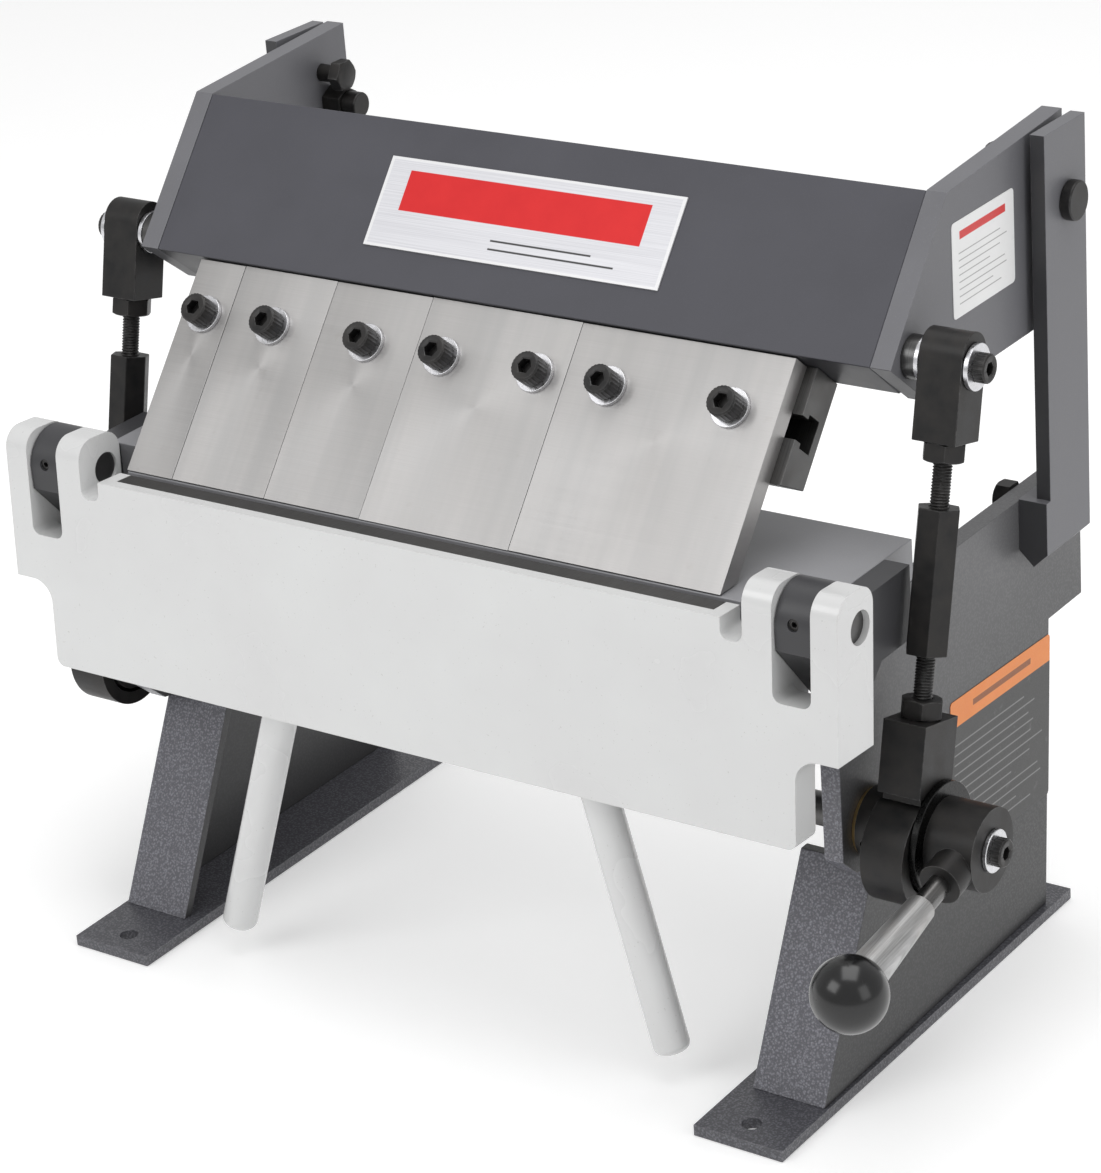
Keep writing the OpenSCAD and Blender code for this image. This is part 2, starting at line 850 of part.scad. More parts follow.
foot_plate(-1);  // left_foot_plate
foot_plate(1);  // right_foot_plate
leg(-1);  // left_leg
leg(1);  // right_leg
bed();
upright(-1);  // left_upright
upright(1);  // right_upright
upright_screws();
hinge_block(-1);  // left_hinge_block
hinge_block(1);  // right_hinge_block
hinge_pins();
hinge_set_screws();
pivot_bolts();
pivot_nuts();
shaft_bushes();
apron();
apron_edge_strip();
fold_handles();
beam_plate();
arm(-1);  // left_arm
arm(1);  // right_arm
finger_bar();
finger(0);  // finger_25
finger(1);  // finger_51_a
finger(2);  // finger_51_b
finger(3);  // finger_76
finger(4);  // finger_102
finger_washers();
finger_screws();
clamp_nuts();
name_plate();
arm_lock_screws();
link_pins();
link_pin_washers();
link_pin_screws();
cross_shaft();
eccentric(-1);  // left_eccentric
eccentric(1);  // right_eccentric
shaft_collars();
lever_hub();
lever_rod();
lever_grip();
lever_knob();
shaft_end_washers();
shaft_end_screws();
top_block(-1);  // left_top_block
stud(-1, top_block_len - 17.5, sleeve_top + 20);  // left_top_stud
jam_nuts(-1);  // left_jam_nuts
strap(-1);  // left_strap
stud(-1, sleeve_top + sleeve_len - 20, strap_block_top + 19);  // left_bottom_stud
sleeve(-1);  // left_sleeve
top_block(1);  // right_top_block
stud(1, top_block_len - 17.5, sleeve_top + 20);  // right_top_stud
jam_nuts(1);  // right_jam_nuts
strap(1);  // right_strap
stud(1, sleeve_top + sleeve_len - 20, strap_block_top + 19);  // right_bottom_stud
sleeve(1);  // right_sleeve
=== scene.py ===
"""Looks of a bench box-and-pan brake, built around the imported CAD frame.

Everything is in metres in the CAD frame: X along the bend, -Y is the
operator's side, Z is up. CAD nodes keep their shape and get soft edges and
materials. Threaded rods, screws, nuts and labels are new pieces.
"""

import json
import math

import bmesh
import bpy
from mathutils import Matrix, Vector


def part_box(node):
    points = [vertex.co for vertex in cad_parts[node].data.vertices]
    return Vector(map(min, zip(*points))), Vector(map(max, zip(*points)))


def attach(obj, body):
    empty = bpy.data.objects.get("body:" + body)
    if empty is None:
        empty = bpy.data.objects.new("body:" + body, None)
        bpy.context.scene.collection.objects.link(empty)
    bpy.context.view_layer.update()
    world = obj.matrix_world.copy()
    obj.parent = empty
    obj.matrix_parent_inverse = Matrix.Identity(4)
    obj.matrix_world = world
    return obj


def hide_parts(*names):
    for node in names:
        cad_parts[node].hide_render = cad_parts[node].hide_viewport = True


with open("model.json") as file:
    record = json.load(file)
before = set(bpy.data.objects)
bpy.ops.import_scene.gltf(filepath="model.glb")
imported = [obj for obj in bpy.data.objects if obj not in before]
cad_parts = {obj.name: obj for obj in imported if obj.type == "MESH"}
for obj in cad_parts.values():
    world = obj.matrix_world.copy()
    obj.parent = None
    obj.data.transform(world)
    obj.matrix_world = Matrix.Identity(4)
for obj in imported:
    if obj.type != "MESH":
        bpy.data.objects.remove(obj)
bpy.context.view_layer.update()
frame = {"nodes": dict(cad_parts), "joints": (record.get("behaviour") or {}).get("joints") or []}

MM = 0.001
SLOPE = math.radians(50)
NODES = frame["nodes"]


# ---- Node helpers ---------------------------------------------------------


class Paint:
    """A material under construction, with short calls for its nodes."""

    def __init__(self, name):
        self.mat = bpy.data.materials.new(name)
        self.mat.use_nodes = True
        self.tree = self.mat.node_tree
        self.shader = self.tree.nodes["Principled BSDF"]
        self.place = self.node("ShaderNodeTexCoord").outputs["Object"]

    def node(self, kind, inputs=None, **settings):
        made = self.tree.nodes.new(kind)
        for key, value in settings.items():
            setattr(made, key, value)
        for key, value in (inputs or {}).items():
            self.feed(made.inputs[key], value)
        return made

    def feed(self, socket, value):
        if isinstance(value, bpy.types.NodeSocket):
            self.tree.links.new(value, socket)
        else:
            socket.default_value = value

    def math(self, operation, *values, clamp=False):
        made = self.node("ShaderNodeMath", operation=operation, use_clamp=clamp)
        for socket, value in zip(made.inputs, values):
            self.feed(socket, value)
        return made.outputs[0]

    def xyz(self, place=None):
        split = self.node("ShaderNodeSeparateXYZ", {0: place or self.place})
        return split.outputs[0], split.outputs[1], split.outputs[2]

    def stretched(self, scale, turn=(0, 0, 0)):
        """The object's coordinates, in metres, turned and then scaled."""
        inputs = {"Vector": self.place, "Rotation": turn, "Scale": scale}
        return self.node("ShaderNodeMapping", inputs, vector_type="TEXTURE").outputs[0]

    def noise(self, size, detail=3.0, rough=0.55, place=None):
        """Noise whose features are about size metres across."""
        inputs = {"Vector": place or self.place, "Scale": 1 / size}
        inputs.update({"Detail": detail, "Roughness": rough})
        return self.node("ShaderNodeTexNoise", inputs).outputs["Fac"]

    def ramp(self, value, low, high, to_low=0.0, to_high=1.0):
        inputs = {0: value, 1: low, 2: high, 3: to_low, 4: to_high}
        return self.node("ShaderNodeMapRange", inputs).outputs[0]

    def mix(self, amount, a, b, kind="MIX"):
        made = self.node("ShaderNodeMix", data_type="RGBA", blend_type=kind)
        self.feed(made.inputs[0], amount)
        self.feed(made.inputs[6], a)
        self.feed(made.inputs[7], b)
        return made.outputs[2]

    def edges(self, width):
        """1 on outer and inner edges and 0 on open faces."""
        soft = self.node("ShaderNodeBevel", {"Radius": width}, samples=4).outputs[0]
        true = self.node("ShaderNodeNewGeometry").outputs["True Normal"]
        dot = self.node("ShaderNodeVectorMath", {0: soft, 1: true}, operation="DOT_PRODUCT")
        return self.ramp(dot.outputs["Value"], 0.995, 0.80)

    def bump(self, height, distance, strength=1.0, normal=None):
        inputs = {"Height": height, "Distance": distance, "Strength": strength}
        if normal is not None:
            inputs["Normal"] = normal
        return self.node("ShaderNodeBump", inputs).outputs[0]

    def finish(self, color, rough, normal=None, metallic=0.0, **constants):
        self.feed(self.shader.inputs["Base Color"], color)
        self.feed(self.shader.inputs["Roughness"], rough)
        self.shader.inputs["Metallic"].default_value = metallic
        if normal is not None:
            self.feed(self.shader.inputs["Normal"], normal)
        for key, value in constants.items():
            self.shader.inputs[key.replace("_", " ")].default_value = value
        return self.mat


def rgb(r, g, b):
    return (r, g, b, 1.0)


def grey(value, blue=1.0):
    return rgb(value, value, value * blue)


# ---- Materials ------------------------------------------------------------


def satin_paint(name, tone, blue=1.08, gloss=0.42, front=1.0, under=0.45):
    """Satin machine paint: fine orange peel, soft mottling, rubbed edges.

    front and under scale the tone of faces that look forward or down, as painted shade.
    """
    p = Paint(name)
    mottle = p.noise(38 * MM, 4.0)
    fine = p.noise(1.4 * MM, 2.0)
    dust = p.noise(0.45 * MM, 1.0)
    base = p.mix(p.ramp(mottle, 0.3, 0.7), grey(tone * 0.93, blue), grey(tone * 1.07, blue))
    base = p.mix(p.ramp(dust, 0.66, 0.74, 0.0, 0.25), base, grey(tone * 1.8, blue))
    # Painted shade: faces that look forward or down are mixed to a darker tone.
    facing = p.xyz(p.node("ShaderNodeTexCoord").outputs["Normal"])
    front_shade_mask = p.ramp(facing[1], -0.85, -0.95, 0.0, 1.0)
    under_shade_mask = p.ramp(facing[2], -0.15, -0.5, 0.0, 1.0)
    base = p.mix(front_shade_mask, base, grey(tone * front, blue))
    base = p.mix(under_shade_mask, base, grey(tone * under, blue))
    worn = p.math("MULTIPLY", p.edges(0.9 * MM), p.ramp(p.noise(3.5 * MM, 4.0), 0.42, 0.62))
    base = p.mix(p.math("MULTIPLY", worn, 0.3), base, grey(tone * 2.0, blue))
    rough = p.ramp(mottle, 0.3, 0.7, gloss - 0.05, gloss + 0.07)
    normal = p.bump(fine, 0.06 * MM, 0.35)
    return p.finish(base, rough, normal, Specular_IOR_Level=0.45)


def hammered_paint(name, tone=0.150, front_only=False):
    """Hammered paint: raised cells with dark seams and a metallic fleck.

    With front_only, side faces are plain satin with painted shade that
    darkens them towards the floor, and inner faces get painted shade that makes them dark.
    """
    p = Paint(name)
    warp = p.noise(6 * MM, 2.0)
    place = p.node("ShaderNodeVectorMath", {0: p.place}, operation="ADD")
    push = p.math("MULTIPLY", warp, 1.4 * MM)
    p.feed(place.inputs[1], p.node("ShaderNodeCombineXYZ", {0: push, 1: push, 2: push}).outputs[0])
    inputs = {"Vector": place.outputs[0], "Scale": 1 / (1.15 * MM), "Smoothness": 0.35}
    cells = p.node("ShaderNodeTexVoronoi", inputs, feature="SMOOTH_F1").outputs["Distance"]
    dome = p.ramp(cells, 0.12, 0.62, 1.0, 0.0)
    fleck = p.noise(0.7 * MM, 2.0)
    light = p.mix(p.ramp(dome, 0.15, 0.85), grey(tone * 0.62, 1.16), grey(tone * 1.3, 1.15))
    light = p.mix(p.ramp(fleck, 0.55, 0.72, 0.0, 0.35), light, grey(tone * 2.6, 1.1))
    worn = p.math("MULTIPLY", p.edges(1.0 * MM), p.ramp(p.noise(4 * MM, 4.0), 0.4, 0.62))
    base = p.mix(p.math("MULTIPLY", worn, 0.4), light, grey(tone * 3.4, 1.05))
    rough = p.ramp(dome, 0.0, 1.0, 0.46, 0.28)
    height = dome
    if front_only:
        facing = p.xyz(p.node("ShaderNodeNewGeometry").outputs["True Normal"])
        plain = p.ramp(facing[1], -0.6, -0.3)
        # Painted shade: inner faces go dark, and side faces darken towards the floor.
        inward = p.math("MULTIPLY", facing[0], p.math("SIGN", p.xyz()[0]))
        inside = p.ramp(inward, -0.4, -0.8)
        mottle = p.noise(45 * MM, 4.0)
        satin = p.mix(p.ramp(mottle, 0.3, 0.7), grey(tone * 0.66, 1.04), grey(tone * 0.78, 1.04))
        height_shade = p.ramp(p.xyz()[2], 85 * MM, 200 * MM, 1.0, 0.0)
        satin = p.mix(height_shade, satin, grey(tone * 0.22, 1.04))
        satin = p.mix(inside, satin, grey(tone * 0.3, 1.04))
        base = p.mix(plain, base, satin)
        height = p.math("MULTIPLY", height, p.ramp(plain, 0.0, 1.0, 1.0, 0.06))
        rough = p.math("ADD", rough, p.math("MULTIPLY", plain, 0.12))
    normal = p.bump(height, 0.16 * MM, 0.55)
    return p.finish(base, rough, normal, Specular_IOR_Level=0.5, Coat_Weight=0.25, Coat_Roughness=0.25)


def gloss_paint(name, tone=0.65):
    """Thick off-white gloss enamel: soft waviness and a little shop grime."""
    p = Paint(name)
    wave = p.noise(16 * MM, 2.0)
    peel = p.noise(2.2 * MM, 2.0)
    cloud = p.noise(60 * MM, 3.0)
    base = p.mix(p.ramp(cloud, 0.3, 0.7), rgb(tone, tone * 1.01, tone * 1.005), grey(tone * 0.95, 1.0))
    crease = p.math("MULTIPLY", p.edges(1.6 * MM), p.ramp(p.noise(5 * MM, 5.0), 0.45, 0.7))
    base = p.mix(p.math("MULTIPLY", crease, 0.35), base, rgb(0.42, 0.41, 0.38))
    specks = p.ramp(p.noise(1.1 * MM, 1.0), 0.735, 0.765)
    base = p.mix(p.math("MULTIPLY", specks, 0.35), base, rgb(0.33, 0.32, 0.30))
    rough = p.ramp(cloud, 0.3, 0.7, 0.20, 0.30)
    normal = p.bump(wave, 0.25 * MM, 0.25)
    normal = p.bump(peel, 0.05 * MM, 0.30, normal)
    return p.finish(base, rough, normal, Coat_Weight=0.35, Coat_Roughness=0.12)


def ground_steel(name, tone, seed):
    """Surface-ground steel: fine grinding lines, cross sheen, faint stains."""
    p = Paint(name)
    turn = (SLOPE, 0, 0)
    lines = p.noise(1.0, 2.0, 0.6, p.stretched((260 * MM, 0.35 * MM, 0.35 * MM), turn))
    bands = p.noise(1.0, 3.0, 0.5, p.stretched((9 * MM, 320 * MM, 60 * MM), turn))
    cloud = p.noise(42 * MM + seed * 3 * MM, 4.0)
    stain = p.ramp(p.noise(7 * MM, 5.0, 0.65), 0.62, 0.80)
    dull = rgb(tone * 0.93, tone * 0.91, tone * 0.90)
    clear = rgb(tone * 1.05, tone * 1.03, tone * 1.02)
    base = p.mix(p.ramp(lines, 0.3, 0.7), dull, clear)
    base = p.mix(p.ramp(bands, 0.35, 0.65, 0.0, 0.5), base, grey(tone * 0.80, 1.0))
    base = p.mix(p.ramp(cloud, 0.3, 0.75, 0.0, 0.35), base, rgb(tone, tone * 0.97, tone * 0.94))
    base = p.mix(p.math("MULTIPLY", stain, 0.18), base, rgb(tone * 0.62, tone * 0.56, tone * 0.5))
    bright = p.math("MULTIPLY", p.edges(0.5 * MM), 0.35)
    base = p.mix(bright, base, grey(min(1.0, tone * 1.35)))
    rough = p.math("ADD", p.ramp(lines, 0.3, 0.7, 0.36, 0.44), p.ramp(cloud, 0.3, 0.7, 0.0, 0.06))
    normal = p.bump(lines, 0.012 * MM, 0.6)
    return p.finish(base, rough, normal, metallic=1.0, Anisotropic=0.45)


def machined_steel(name, tone, gloss=0.3):
    """Dark oiled steel with turning marks, and bare edges."""
    p = Paint(name)
    lines = p.noise(1.0, 2.0, 0.6, p.stretched((0.4 * MM, 22 * MM, 22 * MM)))
    cloud = p.noise(18 * MM, 4.0)
    base = p.mix(p.ramp(lines, 0.3, 0.7), grey(tone * 0.8), grey(tone * 1.25))
    base = p.mix(p.ramp(cloud, 0.35, 0.7, 0.0, 0.4), base, rgb(tone * 0.8, tone * 0.72, tone * 0.66))
    base = p.mix(p.math("MULTIPLY", p.edges(0.6 * MM), 0.6), base, grey(min(0.6, tone * 3.0)))
    rough = p.ramp(cloud, 0.3, 0.7, gloss, gloss + 0.14)
    normal = p.bump(lines, 0.02 * MM, 0.5)
    return p.finish(base, rough, normal, metallic=1.0)


def black_oxide(name, tone=0.022, gloss=0.34):
    """Blackened steel: oily sheen, brown tint in places, rubbed corners."""
    p = Paint(name)
    cloud = p.noise(9 * MM, 5.0)
    grain = p.noise(0.5 * MM, 2.0)
    base = p.mix(p.ramp(cloud, 0.3, 0.7), grey(tone * 0.7, 1.05), rgb(tone * 1.5, tone * 1.38, tone * 1.3))
    rub = p.math("MULTIPLY", p.edges(0.7 * MM), p.ramp(p.noise(2.2 * MM, 4.0), 0.35, 0.6))
    base = p.mix(p.math("MULTIPLY", rub, 0.6), base, grey(0.17))
    rough = p.math("ADD", p.ramp(cloud, 0.3, 0.7, gloss, gloss + 0.15), p.ramp(grain, 0.3, 0.7, -0.04, 0.04))
    normal = p.bump(grain, 0.03 * MM, 0.45)
    return p.finish(base, rough, normal, metallic=0.55, Specular_IOR_Level=0.6)


def bright_zinc(name, tone=0.66, shaft=None):
    """Zinc plate: crystal clouding, a cool tint and small scratches.

    With shaft, an axis along X through that point, wide discs are black.
    """
    p = Paint(name)
    inputs = {"Vector": p.place, "Scale": 1 / (1.6 * MM)}
    spangle = p.node("ShaderNodeTexVoronoi", inputs).outputs["Color"]
    shade = p.node("ShaderNodeSeparateColor", {0: spangle}).outputs[0]
    scratch = p.noise(1.0, 2.0, 0.7, p.stretched((0.25 * MM, 6 * MM, 6 * MM), (0.4, 0.9, 0.3)))
    cool = rgb(tone * 1.1, tone * 1.1, tone * 1.16)
    base = p.mix(p.ramp(shade, 0.0, 1.0, 0.0, 0.6), grey(tone * 0.92, 1.02), cool)
    base = p.mix(p.ramp(scratch, 0.62, 0.72, 0.0, 0.5), base, grey(tone * 0.6))
    if shaft:
        _, y, z = p.xyz()
        off_y, off_z = p.math("SUBTRACT", y, shaft.y), p.math("SUBTRACT", z, shaft.z)
        across = p.math("SQRT", p.math("ADD", p.math("POWER", off_y, 2.0), p.math("POWER", off_z, 2.0)))
        base = p.mix(p.ramp(across, 9.3 * MM, 9.5 * MM), base, grey(0.02))
    rough = p.ramp(shade, 0.0, 1.0, 0.22, 0.34)
    return p.finish(base, rough, p.bump(scratch, 0.015 * MM, 0.5), metallic=1.0)


def bearing_bronze(name):
    """Plain bearing bronze with turning lines and dark oil in the pores."""
    p = Paint(name)
    lines = p.noise(1.0, 2.0, 0.6, p.stretched((0.3 * MM, 14 * MM, 14 * MM)))
    pores = p.ramp(p.noise(0.6 * MM, 2.0), 0.62, 0.72)
    base = p.mix(p.ramp(lines, 0.3, 0.7), rgb(0.36, 0.24, 0.10), rgb(0.50, 0.36, 0.17))
    base = p.mix(p.math("MULTIPLY", pores, 0.7), base, rgb(0.08, 0.05, 0.03))
    return p.finish(base, p.ramp(pores, 0.0, 1.0, 0.32, 0.55), p.bump(lines, 0.02 * MM, 0.5), metallic=1.0)


def knob_plastic(name):
    """Polished black moulding: faint swirl, parting line, light scuffs."""
    p = Paint(name)
    swirl = p.noise(11 * MM, 3.0)
    scuff = p.noise(1.0, 3.0, 0.7, p.stretched((0.5 * MM, 9 * MM, 9 * MM), (0.7, 0.2, 1.1)))
    base = p.mix(p.ramp(swirl, 0.35, 0.7), grey(0.003), rgb(0.008, 0.008, 0.009))
    rough = p.ramp(scuff, 0.6, 0.78, 0.20, 0.34)
    normal = p.bump(scuff, 0.01 * MM, 0.4)
    return p.finish(base, rough, normal, Coat_Weight=0.15, Coat_Roughness=0.2)


def box_mask(p, u, v, u0, u1, v0, v1, soft=0.12 * MM):
    """1 inside the box u0..u1, v0..v1 and 0 outside, with soft borders."""
    sides = [
        p.ramp(u, u0 - soft, u0 + soft),
        p.ramp(u, u1 - soft, u1 + soft, 1.0, 0.0),
        p.ramp(v, v0 - soft, v0 + soft),
        p.ramp(v, v1 - soft, v1 + soft, 1.0, 0.0),
    ]
    whole = sides[0]
    for side in sides[1:]:
        whole = p.math("MULTIPLY", whole, side)
    return whole


def line_mask(p, u, v, u0, u1, v_top, v_bottom, pitch, weight):
    """Rows of plain printed bars, broken at uneven lengths on the right."""
    row = p.math("FLOOR", p.math("DIVIDE", p.math("SUBTRACT", v, v_bottom), pitch))
    inside = p.math("FRACT", p.math("DIVIDE", p.math("SUBTRACT", v, v_bottom), pitch))
    bar_start, bar_end = p.ramp(inside, 0.5 - weight, 0.56 - weight), p.ramp(inside, 0.5, 0.56, 1.0, 0.0)
    bar = p.math("MULTIPLY", bar_start, bar_end)
    whole = p.math("MULTIPLY", bar, box_mask(p, u, v, u0, u1, v_bottom, v_top))
    chance = p.node("ShaderNodeTexWhiteNoise", {"W": row}, noise_dimensions="1D").outputs["Value"]
    end = p.ramp(chance, 0.0, 1.0, u0 + (u1 - u0) * 0.62, u1)
    return p.math("MULTIPLY", whole, p.math("LESS_THAN", u, end))


def printed(p, base, marks, rough, metallic=0.0, scuffs=True):
    """Finishes a printed sheet: ink over the base, then scuffs and grain."""
    for mask, ink in marks:
        base = p.mix(mask, base, ink)
    grain = p.noise(0.8 * MM, 2.0)
    if scuffs:
        rub = p.ramp(p.noise(6 * MM, 5.0, 0.7), 0.60, 0.80, 0.0, 0.22)
        base = p.mix(rub, base, grey(0.38))
    rough = p.ramp(grain, 0.3, 0.7, rough - 0.04, rough + 0.06)
    return p.finish(base, rough, p.bump(grain, 0.02 * MM, 0.4), metallic=metallic)


def name_plate_print(name, box):
    """A silver plate with a thin border, a plain red band and two bars."""
    p = Paint(name)
    x, y, z = p.xyz()
    low, high = box
    back, rise = math.cos(SLOPE), math.sin(SLOPE)
    along = p.math("ADD", p.math("MULTIPLY", y, back), p.math("MULTIPLY", z, rise))
    bottom = low.y * back + low.z * rise
    top = high.y * back + high.z * rise
    width, height = high.x - low.x, top - bottom
    brushed = p.noise(1.0, 2.0, 0.6, p.stretched((70 * MM, 0.4 * MM, 0.4 * MM)))
    base = p.mix(p.ramp(brushed, 0.3, 0.7), rgb(0.60, 0.60, 0.63), rgb(0.74, 0.74, 0.77))
    rim = p.math(
        "SUBTRACT",
        1.0,
        box_mask(p, x, along, low.x + 1.6 * MM, high.x - 1.6 * MM, bottom + 1.6 * MM, top - 1.6 * MM),
    )
    band = box_mask(
        p, x, along, low.x + 0.08 * width, low.x + 0.90 * width,
        bottom + 0.42 * height, bottom + 0.86 * height,
    )
    bars = line_mask(
        p, x, along, low.x + 0.42 * width, low.x + 0.92 * width,
        bottom + 0.30 * height, bottom + 0.12 * height, 0.09 * height, 0.22,
    )
    red = p.mix(p.noise(12 * MM, 3.0), rgb(0.60, 0.012, 0.015), rgb(0.70, 0.022, 0.022))
    marks = [(p.math("MULTIPLY", rim, 0.7), grey(0.82)), (band, red), (bars, grey(0.05))]
    return printed(p, base, marks, 0.34, metallic=0.35, scuffs=False)


def side_label_print(name, width, height):
    """A white sticker with a plain red header bar and rows of grey bars."""
    p = Paint(name)
    u, v, _ = p.xyz()
    base = p.mix(p.noise(15 * MM, 3.0), grey(0.76), grey(0.84))
    header = box_mask(p, u, v, 0.12 * width, 0.86 * width, 0.80 * height, 0.885 * height)
    rows = line_mask(p, u, v, 0.10 * width, 0.90 * width, 0.72 * height, 0.10 * height, 0.075 * height, 0.16)
    marks = [(header, rgb(0.62, 0.03, 0.03)), (p.math("MULTIPLY", rows, 0.65), grey(0.12))]
    return printed(p, base, marks, 0.36)


def wall_label_print(name, width, height, band):
    """A dark sticker with a plain orange header band and rows of bars."""
    p = Paint(name)
    u, v, _ = p.xyz()
    base = p.mix(p.noise(22 * MM, 3.0), grey(0.028), grey(0.045))
    orange = p.mix(p.noise(9 * MM, 3.0), rgb(0.72, 0.20, 0.035), rgb(0.80, 0.26, 0.05))
    header = box_mask(p, u, v, 0.0, width, height - band, height)
    rows_top, rows_bottom = height - 1.4 * band, 0.06 * height
    rows = line_mask(p, u, v, 0.04 * width, 0.95 * width, rows_top, rows_bottom, 0.058 * height, 0.15)
    stripe = box_mask(p, u, v, 0.22 * width, 0.80 * width, height - 0.62 * band, height - 0.40 * band)
    marks = [
        (p.math("MULTIPLY", rows, 0.55), grey(0.30)),
        (header, orange),
        (p.math("MULTIPLY", stripe, 0.8), rgb(0.12, 0.035, 0.01)),
    ]
    return printed(p, base, marks, 0.40)


# ---- CAD nodes: soft edges and materials ----------------------------------


def smooth_by_angle():
    """A geometry node group that shades smooth below 30 degrees."""
    group = bpy.data.node_groups.new("smooth_by_angle", "GeometryNodeTree")
    group.interface.new_socket("Geometry", in_out="INPUT", socket_type="NodeSocketGeometry")
    group.interface.new_socket("Geometry", in_out="OUTPUT", socket_type="NodeSocketGeometry")
    new, link = group.nodes.new, group.links.new
    start, end = new("NodeGroupInput"), new("NodeGroupOutput")
    faces, edges = new("GeometryNodeSetShadeSmooth"), new("GeometryNodeSetShadeSmooth")
    faces.domain, edges.domain = "FACE", "EDGE"
    angle, sharp = new("GeometryNodeInputMeshEdgeAngle"), new("FunctionNodeCompare")
    sharp.data_type, sharp.operation = "FLOAT", "GREATER_THAN"
    sharp.inputs[1].default_value = math.radians(30)
    edges.inputs["Shade Smooth"].default_value = False
    link(start.outputs[0], faces.inputs[0])
    link(faces.outputs[0], edges.inputs[0])
    link(angle.outputs["Unsigned Angle"], sharp.inputs[0])
    link(sharp.outputs[0], edges.inputs["Selection"])
    link(edges.outputs[0], end.inputs[0])
    return group


SMOOTH = smooth_by_angle()


def soften(obj, width):
    """Welds, dissolves flat facets, shades by angle and rounds the edges."""
    if "custom_normal" in obj.data.attributes:
        obj.data.attributes.remove(obj.data.attributes["custom_normal"])
    weld = obj.modifiers.new("weld", "WELD")
    weld.merge_threshold = 0.002 * MM
    flat = obj.modifiers.new("flat", "DECIMATE")
    flat.decimate_type = "DISSOLVE"
    flat.angle_limit = math.radians(0.3)
    shade = obj.modifiers.new("shade", "NODES")
    shade.node_group = SMOOTH
    if width > 0:
        bevel = obj.modifiers.new("edge", "BEVEL")
        bevel.width = width
        bevel.segments = 2
        bevel.limit_method = "ANGLE"
        bevel.angle_limit = math.radians(32)
        bevel.harden_normals = True
        bevel.use_clamp_overlap = True


def coat(obj, material):
    obj.data.materials.clear()
    obj.data.materials.append(material)


# Painted shade: the front and under values darken faces that look forward or down.
FRAME_PAINT = satin_paint("frame_paint", 0.140, front=0.28)
BEAM_PAINT = satin_paint("beam_paint", 0.058, 1.2, under=0.3)
BLOCK_PAINT = satin_paint("block_paint", 0.045, front=0.8)
BED_PAINT = satin_paint("bed_paint", 0.27, 1.05, 0.36)
LEG_PAINT = hammered_paint("leg_paint", front_only=True)
FOOT_PAINT = hammered_paint("foot_paint", 0.085)
APRON_PAINT = gloss_paint("apron_paint")
DARK_STEEL = machined_steel("dark_steel", 0.11)
ROD_STEEL = machined_steel("rod_steel", 0.16, 0.2)
GRIP_STEEL = machined_steel("grip_steel", 0.42, 0.42)
BLACK_STEEL = black_oxide("black_steel")
LINK_STEEL = black_oxide("link_steel", 0.018, 0.38)
BRIGHT = bright_zinc("bright_steel")
DISC_STEEL = bright_zinc("disc_steel", shaft=(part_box("cross_shaft")[0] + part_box("cross_shaft")[1]) / 2)
BRONZE = bearing_bronze("bronze")
KNOB = knob_plastic("knob_plastic")
PLATE = name_plate_print("name_plate_print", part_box("name_plate"))

FINISHES = {
    FRAME_PAINT: [("left_upright", 0.6), ("right_upright", 0.6), ("left_arm", 0.6), ("right_arm", 0.6)],
    BEAM_PAINT: [("beam_plate", 0.7)],
    BLOCK_PAINT: [("left_hinge_block", 0.5), ("right_hinge_block", 0.5)],
    BED_PAINT: [("bed", 0.5)],
    LEG_PAINT: [("left_leg", 0.6), ("right_leg", 0.6)],
    FOOT_PAINT: [("left_foot_plate", 0.6), ("right_foot_plate", 0.6)],
    APRON_PAINT: [("apron", 0.8), ("fold_handles", 0.3)],
    DARK_STEEL: [
        ("apron_edge_strip", 0.3), ("finger_bar", 0.4), ("hinge_pins", 0.6), ("link_pins", 0.4),
        ("cross_shaft", 0.5), ("clamp_nuts", 0.3),
    ],
    ROD_STEEL: [("lever_rod", 0.2)],
    GRIP_STEEL: [("lever_grip", 0.3)],
    BLACK_STEEL: [
        ("hinge_set_screws", 0.2), ("pivot_bolts", 0.8), ("pivot_nuts", 0.5), ("left_eccentric", 0.3),
        ("right_eccentric", 0.3), ("shaft_collars", 0.5),
    ],
    LINK_STEEL: [
        ("lever_hub", 1.0), ("left_top_block", 1.2), ("left_strap", 1.2), ("left_sleeve", 0.6),
        ("right_top_block", 1.2), ("right_strap", 1.2), ("right_sleeve", 0.6),
    ],
    BRIGHT: [("finger_washers", 0.25), ("link_pin_washers", 0.25)],
    DISC_STEEL: [("shaft_end_washers", 0.4)],
    BRONZE: [("shaft_bushes", 0.2)],
    KNOB: [("lever_knob", 0.6)],
    PLATE: [("name_plate", 0.15)],
}
FINGERS = {
    "finger_25": 0.42, "finger_51_a": 0.46, "finger_51_b": 0.44, "finger_76": 0.47, "finger_102": 0.46,
}

for material, members in FINISHES.items():
    for node, width in members:
        coat(NODES[node], material)
        soften(NODES[node], width * MM)
for seed, (node, tone) in enumerate(FINGERS.items()):
    coat(NODES[node], ground_steel(f"ground_steel_{seed}", tone, seed))
    soften(NODES[node], 0.25 * MM)


# ---- Pieces: helpers ------------------------------------------------------


def piece(name, mesh, body, material, matrix=None):
    """Adds a new piece in place, and lets it ride on its body."""
    obj = bpy.data.objects.new(name, mesh)
    bpy.context.scene.collection.objects.link(obj)
    if matrix is not None:
        obj.matrix_world = matrix
    coat(obj, material)
    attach(obj, body)
    return obj


